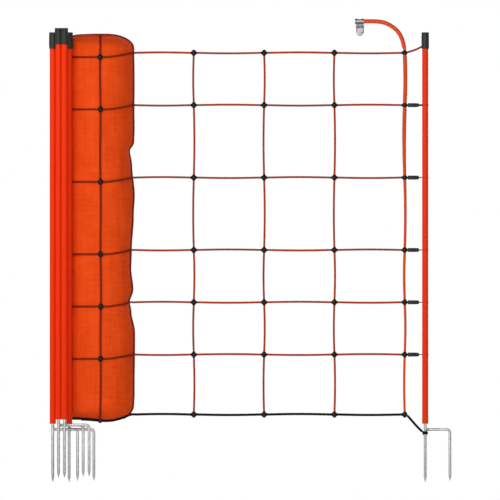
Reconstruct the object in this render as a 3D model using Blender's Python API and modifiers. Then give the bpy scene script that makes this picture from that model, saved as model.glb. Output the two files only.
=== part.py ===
"""Electric poultry netting, partly unrolled and standing in the ground.

A wound roll of net with four stored posts beside it, four open panels of net, the end post
in its ties, and the lead with its sprung clip. Metres, +Z up. The origin is on the roll's
axis at ground level, and the open net lies in the XZ plane.
"""

import math

import bmesh
import bpy
import numpy as np
from mathutils import Matrix, Vector

NAME = "electric_netting"

# Fits
GAP = 0.0003  # between pieces that touch
PIN_GAP = 0.0003  # round the clip's pin

# Net
BOTTOM_ROW = 0.041
ROW_SPACINGS = (0.149, 0.130, 0.130, 0.180, 0.180, 0.130)
FIRST_COLUMN = 0.2332
COLUMN_PITCH = 0.1748
PANELS = 4
TWINE_RADIUS = 0.0021
BOTTOM_TWINE_RADIUS = 0.00275
KNOT_RADIUS = 0.0070
ROW_BOW = 0.0012  # how far a stretch of row sags or lifts
COLUMN_BOW = 0.0015  # how far a stretch of column leans
TWINE_TAPER = 0.5  # a row's end beside a knot, as a share of its radius
FEEDER_HEIGHTS = (0.041, 0.574, 0.748, 0.940)
FEEDER_RADII = (0.00275, 0.0035, 0.0050, 0.0052)

# Wound roll
ROLL_RADIUS = 0.0833
ROLL_BOTTOM = 0.025
ROLL_TOP = 0.984
ROLL_SHOULDER = 0.060  # how far the rounding reaches in from the side
ROLL_TOP_DROP = 0.030
ROLL_BOTTOM_RISE = 0.040

# Posts
POST_RADIUS = 0.0077
POST_FOOT = 0.018
POST_TOP = 0.9872
CAP_WALL = 0.00145
CAP_ROOF = 0.0037
CAP_HEIGHT = 0.041
CAP_SLOT_WIDTH = 0.0042
CAP_SLOT_HEIGHT = 0.0085
SPIKE_RADIUS = 0.00375
SPIKE_IN_POST = 0.060
SPIKE_TIP = -0.127
TIP_LENGTH = 0.013
CROSSBAR_HEIGHT = 0.004
CROSSBAR_RADIUS = 0.0036
PRONG_OFFSET = 0.0615
PRONG_TIP = -0.124
PRONG_BEND = 0.009
STORED_LIFT = 0.0107  # how far the two front posts are pulled up
STORED_X = (-0.1173, -0.1032, -0.0885, -0.0766)

# Ties that hold the end post
TIE_REACH = 0.0509  # from the last column to the end post
SLEEVE_RADIUS = 0.0050
SLEEVE_LENGTH = 0.0283
SLEEVE_CHAMFER = 0.0012
TIE_TWINE_RADIUS = 0.00125
TOP_TIE_RISE = 0.0155
COLLAR_RADIUS = 0.0070
COLLAR_HEIGHT = 0.0100

# Lead and clip
LEAD_RADIUS = 0.00535
LEAD_SPACING = 0.008
LEAD_ROUTE = (  # X and Z from the crossing of the last column and the top row
    (0.0000, 0.0073),
    (-0.0022, 0.0170),
    (-0.0060, 0.0320),
    (-0.0112, 0.0440),
    (-0.0180, 0.0540),
    (-0.0292, 0.0640),
    (-0.0410, 0.0710),
    (-0.0528, 0.0755),
    (-0.0656, 0.0778),
    (-0.0776, 0.0784),
    (-0.0916, 0.0784),
    (-0.1046, 0.0784),
    (-0.1166, 0.0784),
)
CRIMP_WALL = 0.00125
CRIMP_FAR = 0.1239  # from the last column to the crimp's far end
CRIMP_NEAR = 0.1013
NOTCH_DEPTH = 0.0042
NOTCH_WIDTH = 0.0110
JAW_WIDTH = 0.0199
JAW_LENGTH = 0.0364  # from the crimp's axis to the tip
JAW_ARCH = 0.013
JAW_SHEET = 0.0013
FLANGE_DEPTH = 0.0032
PIN_RADIUS = 0.0012
PIN_DROP = 0.0104  # from the crimp's axis to the pin's
PIN_HEAD_RADIUS = 0.0021
PIN_HEAD = 0.0008
KNUCKLE_RADIUS = 0.00245
CHEEK_BOTTOM = 0.0040  # below the pin's axis
CHEEK_FRONT = 0.0020  # in front of the pin's axis
ARM_WIDTH = 0.0034
SPRING_WIRE = 0.00035
SPRING_TURNS = 5

# How finely round pieces are made
POST_SIDES = 16
SMALL_SIDES = 12
ROLL_SIDES = 28

# Worked out from the sizes above
ROWS = tuple(BOTTOM_ROW + sum(ROW_SPACINGS[:n]) for n in range(len(ROW_SPACINGS) + 1))
COLUMNS = tuple(FIRST_COLUMN + n * COLUMN_PITCH for n in range(PANELS))
NET_HINGE = ROLL_RADIUS + GAP + TWINE_RADIUS
END_POST_X = COLUMNS[-1] + TIE_REACH
CAP_BORE = POST_RADIUS + GAP
CAP_RADIUS = CAP_BORE + CAP_WALL
POST_BORE = SPIKE_RADIUS + GAP
LEAD_POINTS = tuple((COLUMNS[-1] + x, ROWS[-1] + z) for x, z in LEAD_ROUTE)
CRIMP_LEFT = COLUMNS[-1] - CRIMP_FAR
CRIMP_RIGHT = COLUMNS[-1] - CRIMP_NEAR
CRIMP_AXIS = LEAD_POINTS[-1][1]
CRIMP_BORE = LEAD_RADIUS + GAP
CRIMP_RADIUS = CRIMP_BORE + CRIMP_WALL
CLIP_MIDDLE = CRIMP_RIGHT - JAW_WIDTH / 2
JAW_TIP = CRIMP_AXIS - JAW_LENGTH
JAW_FACE = GAP / 2  # from the plane where the jaws meet
PIN_Y = -JAW_FACE - KNUCKLE_RADIUS
PIN_Z = CRIMP_AXIS - PIN_DROP
INNER_HALF = JAW_WIDTH / 2 - JAW_SHEET - GAP

COLOURS = {  # linear red, green and blue, then roughness and metallic
    "post_plastic": ((0.80, 0.026, 0.003), 0.35, 0.0),
    "cap_plastic": ((0.030, 0.030, 0.030), 0.45, 0.0),
    "galvanised_steel": ((0.58, 0.58, 0.58), 0.40, 1.0),
    "wound_net": ((0.78, 0.076, 0.012), 0.70, 0.0),
    "orange_twine": ((0.45, 0.042, 0.013), 0.65, 0.0),
    "black_twine": ((0.010, 0.010, 0.010), 0.65, 0.0),
    "lead_cable": ((0.70, 0.050, 0.007), 0.50, 0.0),
    "tie_plastic": ((0.015, 0.015, 0.015), 0.50, 0.0),
    "clip_steel": ((0.62, 0.62, 0.62), 0.30, 1.0),
}


def clear_scene():
    for obj in list(bpy.data.objects):
        bpy.data.objects.remove(obj)


def new_collection(name):
    made = bpy.data.collections.new(name)
    bpy.context.scene.collection.children.link(made)
    return made


def finish(name):
    """The material for one kind of surface, made the first time it is asked for."""
    if name in bpy.data.materials:
        return bpy.data.materials[name]
    colour, roughness, metallic = COLOURS[name]
    made = bpy.data.materials.new(name)
    made.use_nodes = True
    shader = made.node_tree.nodes["Principled BSDF"]
    shader.inputs["Base Color"].default_value = (*colour, 1.0)
    shader.inputs["Roughness"].default_value = roughness
    shader.inputs["Metallic"].default_value = metallic
    return made


def add_part(name, data, material):
    obj = bpy.data.objects.new(name, data)
    obj.data.materials.clear()
    obj.data.materials.append(finish(material))
    parts.objects.link(obj)
    return obj


def boolean(target, other, operation):
    """Cut or join with another object, which becomes a hidden guide that follows the target."""
    parts.objects.unlink(other)
    cutters.objects.link(other)
    other.hide_render = True
    other.display_type = "WIRE"
    other.parent = target
    other.matrix_parent_inverse = target.matrix_basis.inverted()
    change = target.modifiers.new(operation.lower() + " " + other.name, "BOOLEAN")
    change.operation = operation
    change.solver = "EXACT"
    change.object = other


def join(target, other):
    boolean(target, other, "UNION")


def cut(target, other):
    boolean(target, other, "DIFFERENCE")


def turned(name, profile, material, sides, place=(0, 0, 0), closed=False):
    """A profile of radius and height turned about Z. It runs down its outer side."""
    mesh = bpy.data.meshes.new(name)
    edges = [(n, n + 1) for n in range(len(profile) - 1)]
    if closed:
        edges.append((len(profile) - 1, 0))
    mesh.from_pydata([(r, 0, z) for r, z in profile], edges, [])
    obj = add_part(name, mesh, material)
    obj.location = place
    screw = obj.modifiers.new("turn", "SCREW")
    screw.steps = sides
    screw.render_steps = sides
    screw.use_merge_vertices = True
    screw.merge_threshold = 0.00001
    screw.use_smooth_shade = True
    return obj


def rod(name, points, radius, material, widths=None):
    """A round rod along a line of points. Widths are shares of the radius."""
    curve = bpy.data.curves.new(name, "CURVE")
    curve.dimensions = "3D"
    curve.twist_mode = "MINIMUM"
    curve.bevel_depth = radius
    curve.bevel_resolution = 2
    curve.use_fill_caps = True
    spline = curve.splines.new("POLY")
    spline.points.add(len(points) - 1)
    for n, point in enumerate(points):
        spline.points[n].co = (*point, 1.0)
        spline.points[n].radius = widths[n] if widths is not None else 1.0
    return add_part(name, curve, material)


def as_mesh(obj):
    """Replace a rod by a closed mesh, so that it can be cut or joined."""
    bpy.context.view_layer.update()
    name, material = obj.name, obj.data.materials[0].name
    depsgraph = bpy.context.evaluated_depsgraph_get()
    mesh = bpy.data.meshes.new_from_object(obj.evaluated_get(depsgraph))
    work = bmesh.new()
    work.from_mesh(mesh)
    bmesh.ops.remove_doubles(work, verts=work.verts, dist=0.000001)
    work.to_mesh(mesh)
    work.free()
    place = obj.matrix_world.copy()
    bpy.data.objects.remove(obj)
    made = add_part(name, mesh, material)
    made.matrix_world = place
    return made


def box(name, low, high, material):
    mesh = bpy.data.meshes.new(name)
    work = bmesh.new()
    size = Vector(high) - Vector(low)
    middle = (Vector(high) + Vector(low)) / 2
    place = Matrix.Translation(middle) @ Matrix.Diagonal((*size, 1.0))
    bmesh.ops.create_cube(work, size=1.0, matrix=place)
    work.to_mesh(mesh)
    work.free()
    return add_part(name, mesh, material)


def cylinder_x(name, left, right, radius, y, z, material, sides=SMALL_SIDES):
    """A cylinder along X."""
    mesh = bpy.data.meshes.new(name)
    work = bmesh.new()
    size = {"radius1": radius, "radius2": radius, "depth": right - left}
    bmesh.ops.create_cone(work, cap_ends=True, segments=sides, **size)
    bmesh.ops.rotate(work, verts=work.verts, matrix=Matrix.Rotation(math.pi / 2, 3, "Y"))
    bmesh.ops.translate(work, verts=work.verts, vec=((left + right) / 2, y, z))
    work.to_mesh(mesh)
    work.free()
    return add_part(name, mesh, material)


def plate(name, outline, front, back, material):
    """A flat sheet with an outline in X and Z, between two values of Y."""
    curve = bpy.data.curves.new(name, "CURVE")
    curve.dimensions = "2D"
    curve.fill_mode = "BOTH"
    curve.extrude = (back - front) / 2
    spline = curve.splines.new("POLY")
    spline.points.add(len(outline) - 1)
    for n, (x, z) in enumerate(outline):
        spline.points[n].co = (x, z, 0.0, 1.0)
    spline.use_cyclic_u = True
    obj = add_part(name, curve, material)
    obj.rotation_euler = (math.pi / 2, 0, 0)
    obj.location = (0, (front + back) / 2, 0)
    return as_mesh(obj)


def roll_radius(height):
    """The wound roll's radius at a height, with its rounded top and bottom."""
    above = max(0.0, height - (ROLL_TOP - ROLL_TOP_DROP)) / ROLL_TOP_DROP
    below = max(0.0, ROLL_BOTTOM + ROLL_BOTTOM_RISE - height) / ROLL_BOTTOM_RISE
    share = min(1.0, max(above, below))
    return ROLL_RADIUS - ROLL_SHOULDER * (1 - math.sqrt(1 - share * share))


def build_roll():
    core = ROLL_RADIUS - ROLL_SHOULDER
    steps = 5
    profile = [(0.0, ROLL_TOP)]
    for n in range(steps + 1):
        turn = math.pi / 2 * n / steps
        drop = ROLL_TOP_DROP * (1 - math.cos(turn))
        profile.append((core + ROLL_SHOULDER * math.sin(turn), ROLL_TOP - drop))
    for n in range(steps + 1):
        turn = math.pi / 2 * (1 - n / steps)
        rise = ROLL_BOTTOM_RISE * (1 - math.cos(turn))
        profile.append((core + ROLL_SHOULDER * math.sin(turn), ROLL_BOTTOM + rise))
    profile.append((0.0, ROLL_BOTTOM))
    turned("net_roll", profile, "wound_net", ROLL_SIDES)


def build_row(panel, row):
    """One stretch of a horizontal twine, from a column's knot to the next."""
    height = ROWS[row]
    radius = TWINE_RADIUS if row else BOTTOM_TWINE_RADIUS
    if panel == 0:
        start = max(roll_radius(height - radius), roll_radius(height + radius)) + GAP
    else:
        start = COLUMNS[panel - 1] + KNOT_RADIUS + GAP
    end = COLUMNS[panel] - KNOT_RADIUS - GAP
    taper = KNOT_RADIUS
    bow = ROW_BOW * (-1) ** (panel + row)
    stops = (0.0, taper / (end - start), 0.3, 0.5, 0.7, 1 - taper / (end - start), 1.0)
    points = [(start + (end - start) * t, 0.0, height + bow * math.sin(math.pi * t)) for t in stops]
    widths = [TWINE_TAPER] + [1.0] * (len(stops) - 2) + [TWINE_TAPER]
    name = f"net_row_{row + 1}_panel_{panel + 1}"
    rod(name, points, radius, "orange_twine" if row else "black_twine", widths)


def build_column(column):
    """A vertical twine with its knots. The last one is the thicker feeder."""
    x = COLUMNS[column]
    last = column == PANELS - 1
    points = []
    for row, (low, high) in enumerate(zip(ROWS, ROWS[1:])):
        for t in (0.0, 1 / 3, 2 / 3):
            bow = COLUMN_BOW * (-1) ** (column + row) * math.sin(math.pi * t)
            points.append((x + bow, 0.0, low + (high - low) * t))
    points.append((x, 0.0, ROWS[-1]))
    widths = [1.0] * len(points)
    if last:
        widths = [np.interp(p[2], FEEDER_HEIGHTS, FEEDER_RADII) / TWINE_RADIUS for p in points]
    name = "feeder_twine" if last else f"net_column_{column + 1}"
    material = "lead_cable" if last else "orange_twine"
    twine = as_mesh(rod(name, points, TWINE_RADIUS, material, widths))
    mesh = bpy.data.meshes.new(name + " knots")
    work = bmesh.new()
    for height in ROWS:
        place = Matrix.Translation((x, 0.0, height))
        bmesh.ops.create_uvsphere(work, u_segments=8, v_segments=6, radius=KNOT_RADIUS, matrix=place)
    work.to_mesh(mesh)
    work.free()
    join(twine, add_part(name + " knots", mesh, "black_twine"))


def build_post(name, x, y, lift):
    """A post's tube, its cap and its twin spike."""
    place = (x, y, lift)
    outside = [(POST_RADIUS, POST_TOP), (POST_RADIUS, POST_FOOT)]
    tube = outside + [(POST_BORE, POST_FOOT), (POST_BORE, POST_TOP)]
    turned(name + "_tube", tube, "post_plastic", POST_SIDES, place, closed=True)

    roof = POST_TOP + GAP
    top = roof + CAP_ROOF
    rim = top - CAP_HEIGHT
    edge = CAP_WALL / 2
    cap = turned(
        name + "_cap",
        [
            (0.0, top),
            (CAP_RADIUS - edge, top),
            (CAP_RADIUS, top - edge),
            (CAP_RADIUS, rim),
            (CAP_BORE, rim),
            (CAP_BORE, roof),
            (0.0, roof),
        ],
        "cap_plastic",
        POST_SIDES,
        place,
    )
    half = CAP_SLOT_WIDTH / 2
    low = (x - CAP_RADIUS - CAP_WALL, y - half, lift + rim - CAP_WALL)
    high = (x - CAP_BORE + CAP_WALL / 2, y + half, lift + rim + CAP_SLOT_HEIGHT)
    cut(cap, box(name + " cap slot", low, high, "cap_plastic"))

    spike = turned(
        name + "_spike",
        [
            (0.0, POST_FOOT + SPIKE_IN_POST),
            (SPIKE_RADIUS, POST_FOOT + SPIKE_IN_POST),
            (SPIKE_RADIUS, SPIKE_TIP + TIP_LENGTH),
            (SPIKE_RADIUS / 8, SPIKE_TIP),
            (0.0, SPIKE_TIP),
        ],
        "galvanised_steel",
        SMALL_SIDES,
        place,
    )
    line = [(0.0, CROSSBAR_HEIGHT)]
    bend_steps = 4
    for n in range(bend_steps + 1):
        turn = math.pi / 2 * n / bend_steps
        out = PRONG_OFFSET - PRONG_BEND * (1 - math.sin(turn))
        line.append((out, CROSSBAR_HEIGHT - PRONG_BEND * (1 - math.cos(turn))))
    line += [(PRONG_OFFSET, PRONG_TIP + TIP_LENGTH), (PRONG_OFFSET, PRONG_TIP)]
    widths = [1.0] * (len(line) - 1) + [1 / 8]
    points = [(x + out, y, lift + height) for out, height in line]
    join(spike, as_mesh(rod(name + " prong", points, CROSSBAR_RADIUS, "galvanised_steel", widths)))


def stored_depths():
    """Where the stored posts stand in Y, each against the roll or against its neighbour."""
    x1, x2, x3, x4 = STORED_X
    against_roll = ROLL_RADIUS + CAP_RADIUS + GAP
    against_cap = 2 * CAP_RADIUS + GAP
    y4 = -math.sqrt(against_roll**2 - x4**2)
    y1 = y4 - SPIKE_RADIUS - CROSSBAR_RADIUS - GAP
    y2 = y1 - math.sqrt(max(against_cap**2 - (x2 - x1) ** 2, 0.0))
    y3 = y2 - math.sqrt(max(against_cap**2 - (x3 - x2) ** 2, 0.0))
    return y1, y2, y3, y4


def build_stored_posts():
    """Four posts stored beside the roll, the two in front pulled up a little."""
    lifts = (0.0, STORED_LIFT, STORED_LIFT, 0.0)
    for n, (x, y, lift) in enumerate(zip(STORED_X, stored_depths(), lifts)):
        build_post(f"stored_post_{n + 1}", x, y, lift)


def ring(name, radius, wire, height, material):
    """A ring of round wire about the end post."""
    sides = 6
    profile = []
    for n in range(sides):
        turn = 2 * math.pi * (n + 0.5) / sides
        profile.append((radius + wire * math.cos(turn), height - wire * math.sin(turn)))
    return turned(name, profile, material, POST_SIDES, (END_POST_X, 0, 0), closed=True)


def build_post_tie(number, height):
    """A sleeve against the last column's knot, with a loop of twine round the end post."""
    left = COLUMNS[-1] + KNOT_RADIUS + GAP
    name = f"post_tie_{number}"
    sleeve = turned(
        name,
        [
            (0.0, SLEEVE_LENGTH / 2),
            (SLEEVE_RADIUS - SLEEVE_CHAMFER, SLEEVE_LENGTH / 2),
            (SLEEVE_RADIUS, SLEEVE_LENGTH / 2 - SLEEVE_CHAMFER),
            (SLEEVE_RADIUS, SLEEVE_CHAMFER - SLEEVE_LENGTH / 2),
            (SLEEVE_RADIUS - SLEEVE_CHAMFER, -SLEEVE_LENGTH / 2),
            (0.0, -SLEEVE_LENGTH / 2),
        ],
        "tie_plastic",
        SMALL_SIDES,
        (left + SLEEVE_LENGTH / 2, 0, height),
    )
    sleeve.rotation_euler = (0, math.pi / 2, 0)
    loop = POST_RADIUS + GAP + TIE_TWINE_RADIUS
    neck = [(left + SLEEVE_LENGTH / 2, 0, height), (END_POST_X - loop, 0, height)]
    join(sleeve, as_mesh(rod(name + " neck", neck, TIE_TWINE_RADIUS * 0.9, "orange_twine")))
    join(sleeve, ring(name + " loop", loop, TIE_TWINE_RADIUS, height, "orange_twine"))


def build_top_tie():
    """The top row's end, from the last knot up into the slot of the end post's cap."""
    start = Vector((COLUMNS[-1], 0.0, ROWS[-1]))
    end = Vector((END_POST_X - CAP_BORE, 0.0, ROWS[-1] + TOP_TIE_RISE))
    along = (end - start).normalized()
    first = start + along * (KNOT_RADIUS + GAP)
    stops = (0.0, 0.2, 0.5, 0.8, 1.0)
    points = [first.lerp(end, t) + Vector((0, 0, -ROW_BOW * math.sin(math.pi * t))) for t in stops]
    rod("top_tie", points, TWINE_RADIUS, "orange_twine", (TWINE_TAPER, 1, 1, 1, TWINE_TAPER))


def build_bottom_tie():
    """The bottom row's end, from the last knot down to a collar on the spike."""
    top = CROSSBAR_HEIGHT - CROSSBAR_RADIUS - GAP
    bottom = top - COLLAR_HEIGHT
    bore = SPIKE_RADIUS + GAP
    soft = (COLLAR_RADIUS - bore) / 2
    profile = [
        (bore, top),
        (COLLAR_RADIUS - soft, top),
        (COLLAR_RADIUS, top - soft),
        (COLLAR_RADIUS, bottom + soft),
        (COLLAR_RADIUS - soft, bottom),
        (bore, bottom),
    ]
    collar = turned("bottom_tie", profile, "black_twine", POST_SIDES, (END_POST_X, 0, 0), closed=True)
    start = Vector((COLUMNS[-1], 0.0, ROWS[0]))
    end = Vector((END_POST_X - COLLAR_RADIUS + soft / 2, 0.0, (top + bottom) / 2 + soft))
    first = start + (end - start).normalized() * (KNOT_RADIUS + GAP)
    points = [first, first.lerp(end, 0.3), first.lerp(end, 0.7), end]
    widths = (TWINE_TAPER, 1, 1, 1)
    join(collar, as_mesh(rod("bottom tie strand", points, BOTTOM_TWINE_RADIUS, "black_twine", widths)))


def smooth_route(route, spacing):
    """Points at an even spacing on a smooth curve through a route's own points."""
    knots = [Vector((x, 0.0, z)) for x, z in route]
    padded = [2 * knots[0] - knots[1]] + knots + [2 * knots[-1] - knots[-2]]
    fine = []
    for a, b, c, d in zip(padded, padded[1:], padded[2:], padded[3:]):
        for n in range(10):
            t = n / 10
            bend = (2 * a - 5 * b + 4 * c - d) * t**2 + (3 * b - a - 3 * c + d) * t**3
            fine.append(b + ((c - a) * t + bend) / 2)
    fine.append(knots[-1])
    run = [0.0]
    for a, b in zip(fine, fine[1:]):
        run.append(run[-1] + (b - a).length)
    count = round(run[-1] / spacing) + 1
    even = np.linspace(0.0, run[-1], count)
    xs = np.interp(even, run, [p.x for p in fine])
    zs = np.interp(even, run, [p.z for p in fine])
    return [(float(x), 0.0, float(z)) for x, z in zip(xs, zs)]


def build_lead():
    """The lead from the feeder's top knot over to the clip."""
    start = (COLUMNS[-1], ROWS[-1] + KNOT_RADIUS + GAP)
    rod("lead_cable", smooth_route((start, *LEAD_POINTS[1:]), LEAD_SPACING), LEAD_RADIUS, "lead_cable")


def jaw_outline(top, shoulder, arm, window):
    """One side of a jaw and then the other: a pointed arch, straight sides and an upper end.

    Heights are above the tip's. The arms are as far out as arm, and there is a window
    between them down to its own height.
    """
    half = JAW_WIDTH / 2
    right = []
    for n in range(6):
        turn = math.pi / 2 * n / 5
        right.append((half * math.sin(turn), JAW_ARCH * (1 - math.cos(turn))))
    right += [(half, shoulder), (arm, shoulder), (arm, top)]
    if window:
        right += [(arm - ARM_WIDTH, top), (arm - ARM_WIDTH, window)]
    left = [(-x, z) for x, z in reversed(right[1:])]
    return [(CLIP_MIDDLE + x, JAW_TIP + z) for x, z in right + left]


def add_flanges(jaw, front, back):
    """The folded sides that stiffen a jaw."""
    half = JAW_WIDTH / 2
    low, high = JAW_TIP + JAW_ARCH * 0.9, PIN_Z - CHEEK_BOTTOM - 2 * JAW_SHEET
    for side, name in ((-1, "left"), (1, "right")):
        edges = sorted((CLIP_MIDDLE + side * half, CLIP_MIDDLE + side * (half - JAW_SHEET)))
        corner = (edges[0], front, low), (edges[1], back, high)
        join(jaw, box(f"{jaw.name} {name} flange", *corner, "clip_steel"))


def build_clip_body():
    """The crimp round the lead's end, with the rear jaw and the two cheeks under it."""
    tube = [
        (CRIMP_RADIUS, CRIMP_RIGHT),
        (CRIMP_RADIUS, CRIMP_LEFT),
        (CRIMP_BORE, CRIMP_LEFT),
        (CRIMP_BORE, CRIMP_RIGHT),
    ]
    body = turned("clip_body", tube, "clip_steel", POST_SIDES, (0, 0, CRIMP_AXIS), closed=True)
    body.rotation_euler = (0, math.pi / 2, 0)
    top = CRIMP_AXIS + CRIMP_RADIUS
    middle = (CRIMP_LEFT + CRIMP_RIGHT) / 2
    over = CRIMP_WALL
    wide = NOTCH_WIDTH / 2 * (1 + over / NOTCH_DEPTH)
    notch = [(middle, top - NOTCH_DEPTH), (middle + wide, top + over), (middle - wide, top + over)]
    cut(body, plate("crimp notch", notch, -CRIMP_RADIUS, CRIMP_RADIUS, "clip_steel"))

    joint_height = CRIMP_AXIS - (CRIMP_BORE + CRIMP_RADIUS) / 2 + CRIMP_WALL / 6
    half = JAW_WIDTH / 2
    full = joint_height - JAW_TIP
    outline = jaw_outline(full, full - JAW_SHEET, half - JAW_SHEET / 4, 0)
    join(body, plate("rear jaw", outline, JAW_FACE, JAW_FACE + JAW_SHEET, "clip_steel"))
    for side, name in ((-1, "left"), (1, "right")):
        edges = sorted((CLIP_MIDDLE + side * half, CLIP_MIDDLE + side * (half - JAW_SHEET)))
        low = (edges[0], PIN_Y - CHEEK_FRONT, PIN_Z - CHEEK_BOTTOM)
        high = (edges[1], JAW_FACE + JAW_SHEET / 2, joint_height)
        join(body, box(name + " cheek", low, high, "clip_steel"))
    front = JAW_FACE + JAW_SHEET / 2
    add_flanges(body, front, JAW_FACE + JAW_SHEET + FLANGE_DEPTH)
    reach = CLIP_MIDDLE - JAW_WIDTH, CLIP_MIDDLE + JAW_WIDTH
    cut(body, cylinder_x("pin holes", *reach, PIN_RADIUS + PIN_GAP, PIN_Y, PIN_Z, "clip_steel"))


def build_clip_jaw():
    """The front jaw, which swings on the pin with two knuckles."""
    top = PIN_Z - JAW_TIP
    window = top - KNUCKLE_RADIUS - JAW_SHEET / 2
    shoulder = top - CHEEK_BOTTOM - JAW_SHEET * 0.6
    outline = jaw_outline(top, shoulder, INNER_HALF, window)
    jaw = plate("clip_jaw", outline, -JAW_FACE - JAW_SHEET, -JAW_FACE, "clip_steel")
    for side, name in ((-1, "left"), (1, "right")):
        edges = sorted((CLIP_MIDDLE + side * INNER_HALF, CLIP_MIDDLE + side * (INNER_HALF - ARM_WIDTH)))
        join(jaw, cylinder_x(name + " knuckle", *edges, KNUCKLE_RADIUS, PIN_Y, PIN_Z, "clip_steel"))
    add_flanges(jaw, -JAW_FACE - JAW_SHEET - FLANGE_DEPTH, -JAW_FACE - JAW_SHEET / 2)
    reach = CLIP_MIDDLE - JAW_WIDTH, CLIP_MIDDLE + JAW_WIDTH
    cut(jaw, cylinder_x("knuckle bore", *reach, PIN_RADIUS + PIN_GAP, PIN_Y, PIN_Z, "clip_steel"))


def build_clip_pin():
    """The pin with a head outside each cheek."""
    edge = JAW_WIDTH / 2 + GAP
    shaft = CLIP_MIDDLE - edge - PIN_HEAD / 2, CLIP_MIDDLE + edge + PIN_HEAD / 2
    pin = cylinder_x("clip_pin", *shaft, PIN_RADIUS, PIN_Y, PIN_Z, "clip_steel")
    for side, name in ((-1, "left"), (1, "right")):
        ends = sorted((CLIP_MIDDLE + side * edge, CLIP_MIDDLE + side * (edge + PIN_HEAD)))
        join(pin, cylinder_x(name + " head", *ends, PIN_HEAD_RADIUS, PIN_Y, PIN_Z, "clip_steel"))


def build_clip_spring():
    """The torsion spring round the pin, with a leg down the front jaw."""
    radius = PIN_RADIUS + PIN_GAP + SPRING_WIRE
    half = INNER_HALF - ARM_WIDTH - SPRING_WIRE - GAP
    steps = 10 * SPRING_TURNS
    points = []
    for n in range(steps + 1):
        turn = math.pi + 2 * math.pi * n / 10
        x = CLIP_MIDDLE - half + 2 * half * n / steps
        points.append((x, PIN_Y + radius * math.cos(turn), PIN_Z + radius * math.sin(turn)))
    right = points[-1][0]
    leg = PIN_RADIUS + KNUCKLE_RADIUS
    foot = -JAW_FACE - JAW_SHEET - GAP - SPRING_WIRE
    points.append((right, (PIN_Y - radius + foot) / 2, PIN_Z - leg))
    points.append((right, foot, PIN_Z - 2 * leg))
    points.append((right, foot, PIN_Z - 3 * leg))
    points.insert(0, (points[0][0], points[0][1], PIN_Z + leg))
    rod("clip_spring", points, SPRING_WIRE, "clip_steel").data.bevel_resolution = 1


def pivot(name, place, starts, parent=None):
    """An empty on a joint's axis. The parts whose names start so turn with it."""
    empty = bpy.data.objects.new(name, None)
    empty.empty_display_size = POST_RADIUS
    empty.location = place
    cutters.objects.link(empty)
    if parent:
        empty.parent = parent
        empty.matrix_parent_inverse = Matrix.Translation(parent.location).inverted()
    for obj in parts.objects:
        if obj.name.startswith(starts) or obj.name.endswith(starts):
            obj.parent = empty
            obj.matrix_parent_inverse = Matrix.Translation(place).inverted()
    return empty


def add_pivots():
    """The joints' axes: the net's folds, the end post, two stored posts and the clip's jaw."""
    panel = None
    for n, x in enumerate((NET_HINGE, *COLUMNS[:-1])):
        ends = (f"panel_{n + 1}", f"net_column_{n + 1}")
        if n == PANELS - 1:
            ends += ("feeder_twine", "lead_cable", "clip_body", "clip_pin")
        panel = pivot("net_gather" if n == 0 else f"net_fold_{n}", (x, 0, 0), ends, panel)
    held = ("post_tie", "top_tie", "bottom_tie", "end_post_cap")
    ties = pivot("post_swing", (COLUMNS[-1], 0, 0), held, panel)
    pivot("post_turn", (END_POST_X, 0, 0), ("end_post_tube", "end_post_spike"), ties)
    depths = stored_depths()
    for n in (3, 4):
        place = (STORED_X[n - 1], depths[n - 1], 0)
        pivot(f"stored_post_{n}_turn", place, (f"stored_post_{n}",))
    pivot("clip_jaw_open", (CLIP_MIDDLE, PIN_Y, PIN_Z), ("clip_jaw", "clip_spring"), panel)


clear_scene()
parts = new_collection(NAME)
cutters = new_collection("cutters")
build_roll()
build_stored_posts()
build_post("end_post", END_POST_X, 0.0, 0.0)
for column_number in range(PANELS):
    build_column(column_number)
    for row_number in range(len(ROWS)):
        build_row(column_number, row_number)
for tie_number, tie_height in enumerate(ROWS[1:-1]):
    build_post_tie(tie_number + 1, tie_height)
build_top_tie()
build_bottom_tie()
build_lead()
build_clip_body()
build_clip_jaw()
build_clip_pin()
build_clip_spring()
add_pivots()
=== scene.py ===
# %% [markdown]
# # Electric poultry netting, partly unrolled
#
# A farm buys this net as one roll. Orange twines with steel threads in them run along it,
# stiffer upright twines cross them, and a black bead holds each crossing. Plastic posts with
# twin steel spikes are tied into it. Here four panels are open, four posts are still stored
# beside the roll, the end post hangs in its ties, and the lead with its clip stands up at the
# far end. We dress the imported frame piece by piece, so that each looks like its real finish.

import math

import bpy
from mathutils import Matrix, Vector


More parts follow.
